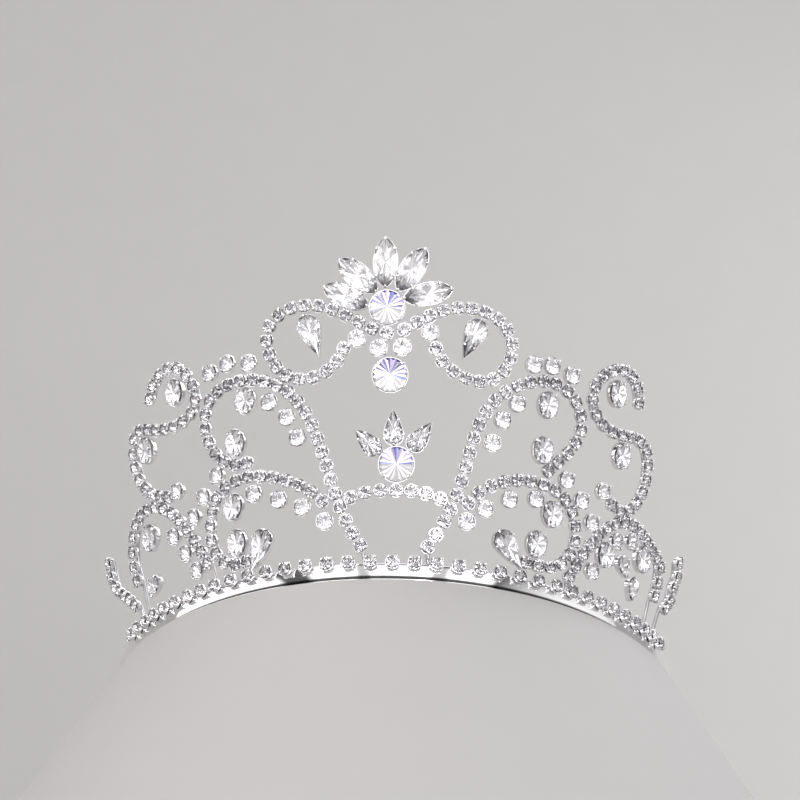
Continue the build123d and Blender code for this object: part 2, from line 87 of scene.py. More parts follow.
# ------------------------------------------------------------------ layout tables
# Cup chains. Columns: mm along the plan ellipse from the front centre (+ towards +x),
# mm up the wall from the band's top edge.
CHAINS = {
    "centre_arch": [
        (-10.80, 15.86), (-7.35, 16.86), (-3.81, 17.38), (-0.26, 17.43), (3.30, 17.45),
        (6.80, 16.96), (10.15, 15.94),
    ],
    "left_loop": [
        (-2.76, 56.63), (-5.66, 57.83), (-8.33, 59.59), (-10.92, 61.40), (-13.56, 63.04),
        (-16.34, 64.28), (-19.25, 64.81), (-22.17, 64.51), (-24.94, 63.29), (-27.18, 60.89),
        (-28.14, 57.39), (-27.75, 53.71), (-26.37, 50.40), (-24.15, 47.81), (-21.30, 46.45),
        (-18.23, 46.51), (-15.38, 47.75), (-13.04, 50.03), (-11.55, 53.15),
    ],
    "left_main_scroll": [
        (-35.95, 27.82), (-39.24, 28.13), (-42.22, 29.68), (-44.52, 32.26), (-45.96, 35.49),
        (-46.50, 39.05), (-46.00, 42.64), (-44.26, 45.68), (-41.59, 47.56), (-38.56, 48.48),
        (-35.45, 48.67), (-32.38, 48.28), (-29.41, 47.32), (-26.64, 45.73), (-24.18, 43.52),
        (-22.12, 40.79), (-20.45, 37.69), (-19.12, 34.41), (-18.03, 30.98), (-17.10, 27.51),
        (-16.25, 24.02), (-15.41, 20.48), (-14.49, 16.96), (-13.42, 13.53), (-12.12, 10.16),
        (-10.55, 6.92), (-8.69, 3.80),
    ],
    "left_lower_arch": [
        (-17.61, 15.50), (-20.24, 17.94), (-23.15, 19.96), (-26.24, 21.60), (-29.46, 22.89),
        (-32.80, 23.79), (-36.20, 24.22), (-39.61, 24.07), (-42.92, 23.08), (-45.82, 21.05),
        (-47.93, 18.10), (-49.18, 14.65), (-49.48, 10.99), (-48.62, 7.47), (-46.32, 4.73),
        (-42.98, 3.46), (-39.29, 3.58),
    ],
    "left_s_scroll": [
        (-63.02, 52.27), (-60.98, 55.06), (-58.26, 56.91), (-55.19, 57.66), (-52.19, 56.74),
        (-49.90, 54.25), (-48.50, 50.98), (-48.28, 47.32), (-50.07, 44.33), (-53.04, 42.98),
        (-56.24, 42.66), (-59.47, 43.01), (-62.61, 43.88), (-65.69, 45.09), (-68.84, 45.92),
        (-71.84, 44.56), (-73.34, 41.32), (-73.63, 37.71), (-72.76, 34.22), (-70.95, 31.19),
        (-68.47, 28.78), (-65.49, 27.13), (-62.33, 25.91),
    ],
    "left_rear_arch": [
        (-83.53, 10.60), (-83.91, 14.38), (-83.01, 18.06), (-81.15, 21.33), (-78.46, 23.83),
        (-75.22, 25.29), (-71.73, 25.70), (-68.24, 25.06), (-64.95, 23.57), (-62.00, 21.47),
        (-59.51, 18.80), (-57.34, 15.80), (-55.42, 12.58), (-53.65, 9.23), (-51.97, 5.84),
    ],
    "right_loop": [
        (0.74, 57.64), (3.22, 59.53), (5.75, 61.31), (8.39, 62.82), (11.18, 63.84),
        (14.04, 64.11), (16.89, 63.59), (19.58, 62.25), (21.85, 59.98), (23.17, 56.71),
        (23.19, 53.07), (22.05, 49.69), (19.86, 47.15), (16.93, 46.10), (13.91, 46.50),
        (11.12, 47.90), (8.78, 50.17), (7.30, 53.30),
    ],
    "right_main_scroll": [
        (35.85, 27.34), (38.13, 30.08), (40.27, 32.96), (42.03, 36.13), (42.92, 39.71),
        (42.21, 43.32), (40.25, 46.28), (37.59, 48.32), (34.52, 49.28), (31.38, 49.17),
        (28.32, 48.22), (25.49, 46.63), (22.92, 44.48), (20.71, 41.84), (18.96, 38.71),
        (17.70, 35.30), (16.81, 31.72), (16.14, 28.05), (15.53, 24.39), (14.82, 20.73),
        (13.89, 17.12), (12.72, 13.59), (11.28, 10.22), (9.61, 6.94), (7.74, 3.77),
    ],
    "right_lower_arch": [
        (16.89, 15.48), (19.10, 18.39), (21.90, 20.58), (25.02, 22.15), (28.34, 23.17),
        (31.76, 23.68), (35.22, 23.62), (38.64, 22.91), (41.81, 21.40), (44.45, 18.94),
        (46.24, 15.74), (46.89, 12.12), (46.07, 8.57), (43.91, 5.66), (40.76, 3.87),
        (37.07, 3.43), (33.51, 3.50),
    ],
    "right_s_scroll": [
        (58.49, 52.23), (57.21, 55.56), (54.77, 57.85), (51.72, 58.40), (48.81, 57.26),
        (46.38, 55.00), (44.76, 51.88), (44.70, 48.24), (46.29, 45.09), (48.91, 43.04),
        (52.03, 42.26), (55.26, 42.51), (58.46, 43.03), (61.69, 43.11), (64.64, 41.56),
        (66.41, 38.48), (67.02, 34.90), (66.65, 31.30), (65.38, 27.96), (63.12, 25.28),
        (59.89, 23.94), (56.56, 24.56),
    ],
    "right_rear_arch": [
        (47.14, 2.85), (48.66, 6.13), (50.26, 9.42), (52.06, 12.58), (54.11, 15.56),
        (56.52, 18.22), (59.32, 20.38), (62.56, 21.72), (66.04, 22.12), (69.48, 21.54),
        (72.83, 20.50), (76.14, 19.30), (79.50, 18.21), (82.64, 16.51), (83.38, 12.87),
        (83.37, 9.15),
    ],
}
END_HOOKS = {
    "left_end_hook": [
        (-100.69, 21.46), (-101.16, 17.76), (-99.52, 14.44), (-96.82, 11.95), (-93.81, 9.87),
        (-90.78, 7.80), (-88.06, 5.29),
    ],
    "right_end_hook": [
        (92.76, 21.77), (94.23, 18.51), (93.37, 15.01), (93.49, 11.41), (91.19, 8.68),
    ],
}
# Sideways step from a chain's (first, last) cup to where its wire meets the band
WIRE_FEET = {
    "left_main_scroll": (None, 0.8), "right_main_scroll": (None, 0.6),
    "left_rear_arch": (0.2, 0.8), "right_rear_arch": (0.0, 0.5),
    "left_end_hook": (None, 1.2), "right_end_hook": (None, -0.8),
}

# Larger stones. Columns: along and up as above, then the long axis in degrees,
# anticlockwise from "along" as seen from outside.
CREST_NAVETTES_LONG = [(-3.08, 74.55, 90), (-8.41, 71.31, 138), (1.99, 72.82, 58)]
CREST_NAVETTES_SHORT = [(-10.96, 66.27, 153), (5.38, 66.84, 14)]
CROWN_PEARS = [(-1.05, 33.06, 92), (-6.79, 29.55, 134), (4.98, 30.98, 55)]
PENDANT_ROUNDS = [(-4.29, 52.90, 90), (0.45, 53.18, 90)]
RIVOLIS = [(-2.70, 63.06, 90), (-1.95, 46.12, 90), (-0.28, 23.86, 90)]
LEFT_DROPLETS = [(-74.60, 6.14, -132)]
RIGHT_DROPLETS = [(65.18, 10.86, -49), (70.88, 6.73, -84)]
LEFT_PEARS = [(-18.09, 57.03, -73), (-35.11, 5.45, -117)]
RIGHT_PEARS = [(14.58, 56.40, -110), (28.38, 5.64, -46)]
LEFT_OVALS = [
    (-34.50, 43.45, 83), (-38.33, 33.41, 82), (-41.08, 17.69, 66), (-41.31, 8.55, 81),
    (-53.92, 51.00, 77), (-66.99, 39.95, 93), (-72.15, 18.33, 70),
]
RIGHT_OVALS = [
    (33.18, 43.51, 100), (33.49, 32.00, 100), (38.65, 16.87, 111), (35.56, 8.57, 100),
    (51.02, 51.91, 105), (56.09, 37.22, 100), (57.54, 11.62, 108), (72.35, 15.23, 115),
]
LEFT_ROUNDS = [
    (-8.70, 55.44, 90), (-43.00, 52.72, 90), (-38.15, 53.83, 90), (-32.80, 52.67, 90),
    (-28.77, 41.88, 90), (-24.81, 37.39, 90), (-22.66, 31.92, 90), (-44.88, 26.67, 90),
    (-35.03, 19.73, 90), (-28.54, 17.18, 90), (-22.64, 14.47, 90), (-17.23, 10.28, 90),
    (-49.84, 22.42, 90), (-58.49, 26.39, 90), (-62.50, 15.56, 90), (-59.00, 10.23, 90),
    (-55.97, 4.93, 90), (-54.09, 18.25, 90),
]
RIGHT_ROUNDS = [
    (5.95, 57.13, 90), (28.58, 52.71, 90), (32.89, 53.46, 90), (37.99, 52.49, 90),
    (25.95, 42.15, 90), (22.97, 37.39, 90), (21.08, 31.25, 90), (41.18, 26.36, 90),
    (16.81, 10.95, 90), (21.01, 14.66, 90), (26.84, 18.05, 90), (33.69, 19.62, 90),
    (46.46, 22.52, 90), (52.65, 26.76, 90), (60.82, 16.16, 90), (66.56, 17.98, 90),
    (50.88, 18.06, 90), (54.19, 6.50, 90),
]

# ------------------------------------------------------------------ places on the wall
# Arc length along the plan ellipse, tabulated against its angle and zero at the front
PLAN_STEPS = 4000
PLAN_REACH = 2.4          # radians covered to each side
ANGLES = [-PLAN_REACH + 2 * PLAN_REACH * i / PLAN_STEPS for i in range(PLAN_STEPS + 1)]
LENGTHS = [0.0]
for before, after in zip(ANGLES[:-1], ANGLES[1:]):
    LENGTHS.append(LENGTHS[-1] + hypot(PLAN_HALF_WIDTH * (sin(after) - sin(before)),
                                       PLAN_HALF_DEPTH * (cos(after) - cos(before))))
LENGTHS = [length - LENGTHS[PLAN_STEPS // 2] for length in LENGTHS]


def plan_point(along):
    """Point on the plan ellipse and its outward normal: x, y, normal x, normal y."""
    i = min(max(bisect(LENGTHS, along) - 1, 0), PLAN_STEPS - 1)
    part = (along - LENGTHS[i]) / (LENGTHS[i + 1] - LENGTHS[i])
    angle = ANGLES[i] + part * (ANGLES[i + 1] - ANGLES[i])
    normal_x, normal_y = PLAN_HALF_DEPTH * sin(angle), -PLAN_HALF_WIDTH * cos(angle)
    size = hypot(normal_x, normal_y)
    return (PLAN_HALF_WIDTH * sin(angle), PLAN_CENTRE - PLAN_HALF_DEPTH * cos(angle),
            normal_x / size, normal_y / size)


def matrix_from_columns(*columns):
    """4x4 matrix from its x, y and z axes and its origin."""
    matrix = Matrix.Identity(4)
    for i, column in enumerate(columns):
        for j in range(3):
            matrix[j][i] = column[j]
    return matrix


def seat(along, up, angle=0.0, offset=0.0, lean=FLARE):
    """Matrix of a setting: z out of the wall, x along its long axis."""
    x, y, normal_x, normal_y = plan_point(along)
    c, k = cos(radians(lean)), sin(radians(lean))
    out = up * k + offset * c
    origin = Vector((x + normal_x * out, y + normal_y * out,
                     STRIP_HEIGHT + up * c - offset * k))
    outward = Vector((normal_x * c, normal_y * c, -k))
    sideways = Vector((-normal_y, normal_x, 0))
    upward = Vector((normal_x * k, normal_y * k, c))
    turn = radians(angle)
    long_axis = sideways * cos(turn) + upward * sin(turn)
    return matrix_from_columns(long_axis, outward.cross(long_axis), outward, origin)


def on_wall(along, up, offset=0.0):
    return seat(along, up, offset=offset).to_translation()


def chain_seats(row):
    """Seats along a chain, each turned along the line through its neighbours."""
    seats = []
    for i, (along, up) in enumerate(row):
        along0, up0 = row[max(i - 1, 0)]
        along1, up1 = row[min(i + 1, len(row) - 1)]
        seats.append(seat(along, up, atan2(up1 - up0, along1 - along0) * 180 / pi))
    return seats


def jitter(matrix, i, amount):
    """Hand-set settings sit a degree or two off true, the same way every run."""
    tilt_x = sin(i * 12.9898 + 4.1) * amount
    tilt_y = sin(i * 78.233 + 1.7) * amount
    return (matrix @ Matrix.Rotation(radians(tilt_x), 4, "X")
            @ Matrix.Rotation(radians(tilt_y), 4, "Y"))


# ------------------------------------------------------------------ outlines
# An outline is a list of (point, outward normal), anticlockwise from +x.
def ring_outline(radius, count):
    outline = []
    for i in range(count):
        c, s = cos(2 * pi * i / count), sin(2 * pi * i / count)
        outline.append((Vector((radius * c, radius * s)), Vector((c, s))))
    return outline


def with_normals(points):
    outline = []
    for i, point in enumerate(points):
        chord = Vector(points[(i + 1) % len(points)]) - Vector(points[i - 1])
        normal = Vector((chord.y, -chord.x)).normalized()
        if normal.dot(Vector(point)) < 0:
            normal = -normal
        outline.append((Vector(point), normal))
    return outline


def oval_outline(length, width, count):
    return with_normals([(length / 2 * cos(2 * pi * i / count),
                          width / 2 * sin(2 * pi * i / count)) for i in range(count)])


def navette_outline(length, width, count):
    """Lens with a short blunt point at each end; count is a multiple of 4."""
    half = count // 2
    top = []
    for i in range(half):
        t = pi * i / half
        top.append((length / 2 * cos(t), width / 2 * sin(t) ** 1.22))
    return with_normals(top + [(-x, -y) for x, y in top])


def pear_outline(length, width, count):
    """Round head at -x, tip at +x."""
    radius = width / 2
    head = -length / 2 + radius
    half = count // 2
    tail = half * 5 // 8
    top = []
    for i in range(tail):
        k = 1 - i / tail
        top.append((head + k * (length - radius), radius * (1 - k ** 1.5)))
    for i in range(half - tail):
        t = pi / 2 + (pi / 2) * i / (half - tail)
        top.append((head + radius * cos(t), radius * sin(t)))
    top.append((-length / 2, 0))
    return with_normals(top + [(x, -y) for x, y in reversed(top[1:-1])])


# ------------------------------------------------------------------ mesh building
def add_object(name, data):
    made = bpy.data.objects.new(name, data)
    bpy.context.scene.collection.objects.link(made)
    return made


class Template:
    """A mesh in mm, built from rings of vertices; each face has a material index."""

    def __init__(self):
        self.vertices, self.faces, self.materials = [], [], []

    def ring(self, points):
        base = len(self.vertices)
        self.vertices += [Vector(p) for p in points]
        return list(range(base, base + len(points)))

    def face(self, indices, material=0):
        self.faces.append(tuple(indices))
        self.materials.append(material)

    def bridge(self, a, b):
        for i in range(len(a)):
            j = (i + 1) % len(a)
            self.face((a[i], a[j], b[j], b[i]))

    def bridge_all(self, rings):
        for a, b in zip(rings[:-1], rings[1:]):
            self.bridge(a, b)

    def close_tube(self, rings):
        """Join the rings and cap both ends."""
        self.bridge_all(rings)
        self.face(rings[0])
        self.face(rings[-1])

    def fan(self, ring, point):
        tip = self.ring([point])[0]
        for i in range(len(ring)):
            self.face((ring[i], ring[(i + 1) % len(ring)], tip))

    @classmethod
    def from_bmesh(cls, bm):
        """Copy a bmesh, and free it."""
        bm.verts.index_update()
        made = cls()
        made.vertices = [v.co.copy() for v in bm.verts]
        made.faces = [tuple(v.index for v in f.verts) for f in bm.faces]
        made.materials = [f.material_index for f in bm.faces]
        bm.free()
        return made

    def fixed(self):
        """Copy with consistent outward normals."""
        bm = bmesh.new()
        corners = [bm.verts.new(v) for v in self.vertices]
        for indices, material in zip(self.faces, self.materials):
            bm.faces.new([corners[i] for i in indices]).material_index = material
        bmesh.ops.recalc_face_normals(bm, faces=bm.faces)
        return Template.from_bmesh(bm)


class Batch:
    """Collects placed templates into one object."""

    def __init__(self):
        self.vertices, self.faces, self.materials = [], [], []

    def add(self, template, matrix=None):
        base = len(self.vertices)
        for point in template.vertices:
            placed = point if matrix is None else matrix @ point
            self.vertices.append((placed.x * MM, placed.y * MM, placed.z * MM))
        self.faces += [tuple(i + base for i in face) for face in template.faces]
        self.materials += template.materials

    def make(self, name, materials, slot, smooth=None, replaced=None):
        """smooth is the angle in degrees above which edges stay sharp."""
        mesh = bpy.data.meshes.new(name)
        mesh.from_pydata(self.vertices, [], self.faces)
        for material in materials:
            mesh.materials.append(material)
        mesh.polygons.foreach_set("material_index", self.materials)
        if smooth:
            mesh.polygons.foreach_set("use_smooth", [True] * len(mesh.polygons))
            mesh.set_sharp_from_angle(angle=radians(smooth))
        mesh.update()
        made = add_object(name, mesh)
        if replaced:
            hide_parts(replaced)
        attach(made, "root")


# ------------------------------------------------------------------ parts of a setting
def tray(outline, base, top):
    """Stamped cup: rounded foot, slightly flared wall, rolled rim, hollow inside."""
    wall, foot = 0.2, 0.28
    # columns: distance out from the outline, z; up the outside and down the inside
    profile = [(-foot - 0.25, base), (-foot, base + 0.06), (-foot * 0.45, base + 0.3),
               (-0.05, top - 0.35), (0.0, top - 0.08), (-0.03, top), (-wall + 0.03, top),
               (-wall, top - 0.08), (-wall - 0.03, top - 0.35),
               (-wall - foot * 0.7, base + 0.42), (-wall - foot - 0.2, base + 0.3)]
    cup = Template()
    cup.close_tube([cup.ring([(p.x + n.x * out, p.y + n.y * out, z) for p, n in outline])
                    for out, z in profile])
    return cup.fixed()


def prong(point, normal, girdle, reach, width, thick=0.2):
    """Tapered claw: up the wall, over the girdle, narrowing to its tip."""
    drop = 1.0
    sides = 8
    # columns: distance out, z, share of the width, share of the thickness
    path = [(-0.07, girdle - drop, 1.15, 0.8), (0.0, girdle - drop * 0.55, 1, 1),
            (0.05, girdle - 0.18, 0.95, 1), (0.03, girdle + 0.1, 0.92, 1),
            (-0.10, girdle + 0.32, 0.9, 0.95), (-reach * 0.7, girdle + 0.46, 0.8, 0.85),
            (-reach, girdle + 0.47, 0.35, 0.4)]
    sideways = Vector((-normal.y, normal.x))
    claw = Template()
    rings = []
    for i, (out, z, width_share, thick_share) in enumerate(path):
        before = path[max(i - 1, 0)]
        after = path[min(i + 1, len(path) - 1)]
        run, rise = after[0] - before[0], after[1] - before[1]
        slope = hypot(run, rise)
        across_out, across_z = rise / slope, -run / slope
        w, t = width * width_share, thick * thick_share
        points = []
        for j in range(sides):
            c, s = cos(2 * pi * j / sides), sin(2 * pi * j / sides)
            flat = point + normal * (out + across_out * s * t / 2) + sideways * (c * w / 2)
            points.append((flat.x, flat.y, z + across_z * s * t / 2))
        rings.append(claw.ring(points))
    claw.close_tube(rings)
    return claw.fixed()


def setting(outline, girdle, claws, **claw_shape):
    """Cup with a claw at each outline index in claws."""
    parts = [tray(outline, CUP_BASE, girdle - 0.42)]
    parts += [prong(*outline[i], girdle, **claw_shape) for i in claws]
    whole = Template()
    for part in parts:
        base = len(whole.vertices)
        whole.vertices += part.vertices
        whole.faces += [tuple(i + base for i in face) for face in part.faces]
        whole.materials += part.materials
    return whole


def four_claws(count):
    """Outline indices of four claws on the diagonals."""
    return range(count // 8, count, count // 4)


def brilliant(outline, girdle, crown, pavilion, star, lower=0.42, table=None):
    """Cut stone: crown is glass (material 0), pavilion foil (material 1).

    crown and pavilion are heights from the girdle; star, lower and table are the facet
    corners' shares of the radius. A stone without a table rises to a point.
    """
    band = 0.07
    count = len(outline)
    half = count // 2
    points = [p for p, _ in outline]
    middle = Vector((sum(p.x for p in points) / count, sum(p.y for p in points) / count))
    stone = Template()

    def corners(first, share, z):
        """Every second outline point, drawn in towards the middle."""
        return stone.ring([(*(middle + (p - middle) * share), z) for p in points[first::2]])

    def facets(rim, mids, tops, material):
        for i in range(half):
            j = (i + 1) % half
            even, odd, next_even = rim[2 * i], rim[2 * i + 1], rim[2 * j]
            if tops[i] != tops[j]:
                stone.face((tops[i], tops[j], mids[i]), material)
            stone.face((even, odd, mids[i]), material)
            stone.face((odd, next_even, mids[i]), material)
            stone.face((tops[i], mids[i - 1], even, mids[i]), material)

    upper = stone.ring([(p.x, p.y, girdle + band / 2) for p in points])
    under = stone.ring([(p.x, p.y, girdle - band / 2) for p in points])
    stone.bridge(upper, under)
    if table is None:
        stars = corners(1, star, girdle + crown * 0.30)
        tops = stone.ring([(middle.x, middle.y, girdle + crown)]) * half
    else:
        tops = corners(0, table, girdle + crown)
        stars = corners(1, star, girdle + crown * 0.58)
        stone.face(tops)
    facets(upper, stars, tops, 0)
    lowers = corners(1, lower, girdle - pavilion * 0.72)
    culet = stone.ring([(middle.x, middle.y, girdle - pavilion)]) * half
    facets(under, lowers, culet, 1)
    return stone.fixed()


# ------------------------------------------------------------------ wire and solder shapes
def tube(points, radius, sides=10):
    """Round wire through 3-D points, with shallow pointed ends."""
    wire = Template()
    rings = []
    previous = None
    for i, point in enumerate(points):
        along = (points[min(i + 1, len(points) - 1)] - points[max(i - 1, 0)]).normalized()
        if previous is None:
            a = along.orthogonal().normalized()
        else:
            # carry the last ring's direction on, so that the tube does not twist
            a = (previous - along * previous.dot(along)).normalized()
        previous = a
        b = along.cross(a)
        rings.append(wire.ring([
            point + (a * cos(2 * pi * j / sides) + b * sin(2 * pi * j / sides)) * radius
            for j in range(sides)]))
    wire.bridge_all(rings)
    start = (points[0] - points[1]).normalized()
    end = (points[-1] - points[-2]).normalized()
    wire.fan(rings[0], points[0] + start * radius * 0.5)
    wire.fan(rings[-1], points[-1] + end * radius * 0.5)
    return wire.fixed()


def solder_blob(centre, radius, axis):
    """Soft, slightly uneven lump, flattened along axis."""
    squash, wobble = 0.75, 0.08
    sides, rows = 10, 6
    blob = Template()
    a = axis.orthogonal().normalized()
    b = axis.cross(a)
    rings = []
    for i in range(1, rows):
        polar = pi * i / rows
        row_radius = radius * sin(polar)
        rings.append(blob.ring([
            centre + axis * (radius * squash * cos(polar)) +
            (a * cos(2 * pi * j / sides) + b * sin(2 * pi * j / sides)) * row_radius *
            (1 + wobble * sin(3.1 * j + 2.0 * i + centre.x))
            for j in range(sides)]))
    blob.bridge_all(rings)
    blob.fan(rings[0], centre + axis * radius * squash)
    blob.fan(rings[-1], centre - axis * radius * squash)
    return blob.fixed()


# ------------------------------------------------------------------ material helpers
def set_inputs(node, values):
    for key, value in values.items():
        node.inputs[key].default_value = value


def add_node(tree, kind, inputs=None, **properties):
    node = tree.nodes.new("ShaderNode" + kind)
    for key, value in properties.items():
        setattr(node, key, value)
    set_inputs(node, inputs or {})
    return node


def add_noise(tree, coordinates, **inputs):
    noise = add_node(tree, "TexNoise", inputs)
    tree.links.new(coordinates.outputs["Object"], noise.inputs["Vector"])
    return noise.outputs["Fac"]


def add_map_range(tree, value, inputs):
    node = add_node(tree, "MapRange", inputs)
    tree.links.new(value, node.inputs["Value"])
    return node.outputs["Result"]


def add_ramp(tree, factor, stops):
    """Colour ramp; stops are (position, rgb)."""
    node = add_node(tree, "ValToRGB")
    elements = node.color_ramp.elements
    for element, (position, color) in zip(elements, (stops[0], stops[-1])):
        element.position = position
        element.color = (*color, 1)
    for position, color in stops[1:-1]:
        elements.new(position).color = (*color, 1)
    tree.links.new(factor, node.inputs["Fac"])
    return node.outputs["Color"]


def multiply_colors(tree, first, second):
    node = add_node(tree, "Mix", data_type="RGBA", blend_type="MULTIPLY",
                    inputs={"Factor": 1.0})
    # the colour sockets of a Mix node: A, B and Result
    tree.links.new(first, node.inputs[6])
    tree.links.new(second, node.inputs[7])
    return node.outputs[2]


def darker(color, share):
    return [c * share for c in color]


def new_material(name):
    material = bpy.data.materials.new(name)
    material.use_nodes = True
    tree = material.node_tree
    return material, tree, tree.nodes["Principled BSDF"]


# ------------------------------------------------------------------ materials
def metal(name, color, rough, scale, bump, dark=0.75):
    """Plated metal with fine polishing marks, drifting tone and soft dull spots."""
    variation = 0.12
    material, tree, surface = new_material(name)
    coordinates = add_node(tree, "TexCoord")
    fine = add_noise(tree, coordinates, Scale=scale, Detail=4)
    broad = add_noise(tree, coordinates, Scale=scale * 0.12, Detail=3)
    tone = add_ramp(tree, broad, [(0.3, darker(color, dark)), (0.62, color)])
    roughness = add_map_range(tree, fine, {"To Min": rough * (1 - variation),
                                           "To Max": rough * (1 + 3 * variation)})
    marks = add_node(tree, "Bump", {"Strength": bump, "Distance": 0.0001})
    tree.links.new(tone, surface.inputs["Base Color"])
    tree.links.new(roughness, surface.inputs["Roughness"])
    tree.links.new(fine, marks.inputs["Height"])
    tree.links.new(marks.outputs["Normal"], surface.inputs["Normal"])
    set_inputs(surface, {"Metallic": 1.0})
    return material


def crystal_glass(name, tint, ior):
    """Clear glass with the faintest tone drift from stone to stone."""
    material, tree, surface = new_material(name)
    noise = add_noise(tree, add_node(tree, "TexCoord"), Scale=260.0)
    tone = add_ramp(tree, noise, [(0.0, darker(tint, 0.93)), (1.0, tint)])
    tree.links.new(tone, surface.inputs["Base Color"])
    set_inputs(surface, {"Transmission Weight": 1.0, "Roughness": 0.0, "IOR": ior})
    return material


def foil(name, light, painted_facet_shade, rough, spread=0.4, tints=None):
    """Mirror foil with painted shade: its tone varies at random from facet to facet, the darker
    facets standing in for reflections of dark surroundings.

    spread is the share of facets given painted shade, darker than light. tints, a list of
    (position, rgb), colours facets by how far they face upward and adds a clear coat: the
    stone's AB colours, with a painted highlight (white) on downward-facing facets and painted
    shade on the most upward-facing ones.
    """
    material, tree, surface = new_material(name)
    geometry = add_node(tree, "NewGeometry")
    white_noise = add_node(tree, "TexWhiteNoise", noise_dimensions="3D")
    snap = add_node(tree, "VectorMath", {1: (0.11, 0.11, 0.11)}, operation="SNAP")
    tree.links.new(geometry.outputs["True Normal"], snap.inputs[0])
    tree.links.new(snap.outputs["Vector"], white_noise.inputs["Vector"])
    per_facet = white_noise.outputs["Value"]
    # painted shade: random facets are darkened towards the shade colour, in place of reflections
    # of dark surroundings
    color = add_ramp(tree, per_facet, [(0.0, painted_facet_shade), (spread, light)])
    if tints:
        split = add_node(tree, "SeparateXYZ")
        tree.links.new(geometry.outputs["True Normal"], split.inputs[0])
        # position on the tint ramp = upwardness + 0.12 x facet noise; painted light: downward
        # facets reach the white stops (painted highlight), the most upward ones the dark stops
        # (painted shade)
        position = add_node(tree, "Math", {1: 0.12}, operation="MULTIPLY_ADD")
        upward = add_map_range(tree, split.outputs["Z"], {"From Min": -0.26, "From Max": 0.10})
        tree.links.new(per_facet, position.inputs[0])
        tree.links.new(upward, position.inputs[2])
        tint = add_ramp(tree, position.outputs[0], tints)
        color = multiply_colors(tree, color, tint)
        set_inputs(surface, {"Coat Weight": 0.8, "Coat Roughness": 0.0})
    tree.links.new(color, surface.inputs["Base Color"])
    set_inputs(surface, {"Metallic": 1.0, "Roughness": rough})
    return material


PLATE = metal("silver_plate_cups", (0.93, 0.92, 0.93), rough=0.16, scale=1400, bump=0.12)
BAND = metal("polished_band_metal", (0.95, 0.945, 0.95), rough=0.06, scale=500, bump=0.03,
             dark=0.9)
WIRE = metal("backing_wire_metal", (0.56, 0.56, 0.58), rough=0.3, scale=1800, bump=0.2)
SOLDER = metal("solder_metal", (0.83, 0.83, 0.85), rough=0.3, scale=2600, bump=0.5, dark=0.7)
GLASS = crystal_glass("crystal_clear", (0.985, 0.985, 1.0), ior=1.42)
# painted shade in the foils: dark facets stand in for reflections; the small chain stones' foil
# is painted darkest
FOIL = foil("crystal_foil", light=(1.0, 0.995, 1.0), painted_facet_shade=(0.80, 0.78, 0.83), rough=0.2)
SMALL_GLASS = crystal_glass("crystal_clear_small", (0.97, 0.965, 0.98), ior=1.5)
SMALL_FOIL = foil("crystal_foil_small", light=(1.0, 0.99, 1.0), painted_facet_shade=(0.20, 0.19, 0.22),
                  rough=0.12, spread=0.6)
# rivoli foil: AB colours, plus a painted highlight on downward-facing facets and painted shade
# on upward-facing ones
IRIDESCENT_FOIL = foil(
    "crystal_face_iridescent", light=(1.0, 0.99, 1.0), painted_facet_shade=(0.86, 0.85, 0.9), rough=0.2,
    tints=[(0.36, (1.0, 1.0, 1.0)), (0.45, (0.86, 0.86, 1.0)), (0.52, (0.46, 0.42, 0.66)),
           (0.59, (0.22, 0.30, 0.80)), (0.67, (0.36, 0.27, 0.44)), (0.76, (0.58, 0.50, 0.70)),
           (0.86, (0.26, 0.24, 0.48))])


# ------------------------------------------------------------------ master settings
# Each master is a (cup, stone) pair of templates.
def round_master(cup_radius, count, cup_girdle, claw, stone):
    return setting(ring_outline(cup_radius, count), cup_girdle, four_claws(count),
                   **claw), brilliant(**stone)


def fancy_master(outline, size, claws):
    """Cup and stone of a shaped crystal, from its outline function and outer size."""
    length, width = size
    cup = setting(outline(length - 0.08, width - 0.08, 32), 0.5, claws, width=0.7, reach=0.55)
    stone = brilliant(outline(length - 0.42, width - 0.34, 16), girdle=0.56, crown=0.8,
                      pavilion=0.95, table=0.46, star=0.78, lower=0.55)
    return cup, stone


CHAIN_MASTER = round_master(
    CHAIN_CUP_RADIUS, 24, cup_girdle=0.0, claw=dict(width=0.78, reach=0.56, thick=0.3),
    stone=dict(outline=ring_outline(1.5, 16), girdle=0.02, crown=0.5, pavilion=1.12,
               table=0.52, star=0.78))
ROUND_MASTER = round_master(
    2.3, 32, cup_girdle=0.25, claw=dict(width=0.9, reach=0.66, thick=0.32),
    stone=dict(outline=ring_outline(2.03, 16), girdle=0.27, crown=0.68, pavilion=1.45,
               table=0.52, star=0.78))
RIVOLI_MASTER = round_master(
    4.55, 48, cup_girdle=0.4, claw=dict(width=0.95, reach=0.72),
    stone=dict(outline=ring_outline(4.3, 36), girdle=0.42, crown=1.15, pavilion=1.65,
               star=0.84))
NAVETTE_CLAWS = (0, 5, 11, 16, 21, 27)
PEAR_CLAWS = (4, 10, 16, 22, 28)
LONG_NAVETTE_MASTER = fancy_master(navette_outline, LONG_NAVETTE, NAVETTE_CLAWS)
SHORT_NAVETTE_MASTER = fancy_master(navette_outline, SHORT_NAVETTE, NAVETTE_CLAWS)
LARGE_PEAR_MASTER = fancy_master(pear_outline, LARGE_PEAR, PEAR_CLAWS)
CROWN_PEAR_MASTER = fancy_master(pear_outline, CROWN_PEAR, PEAR_CLAWS)
DROPLET_MASTER = fancy_master(pear_outline, DROPLET, PEAR_CLAWS)
OVAL_MASTER = fancy_master(oval_outline, OVAL, four_claws(32))


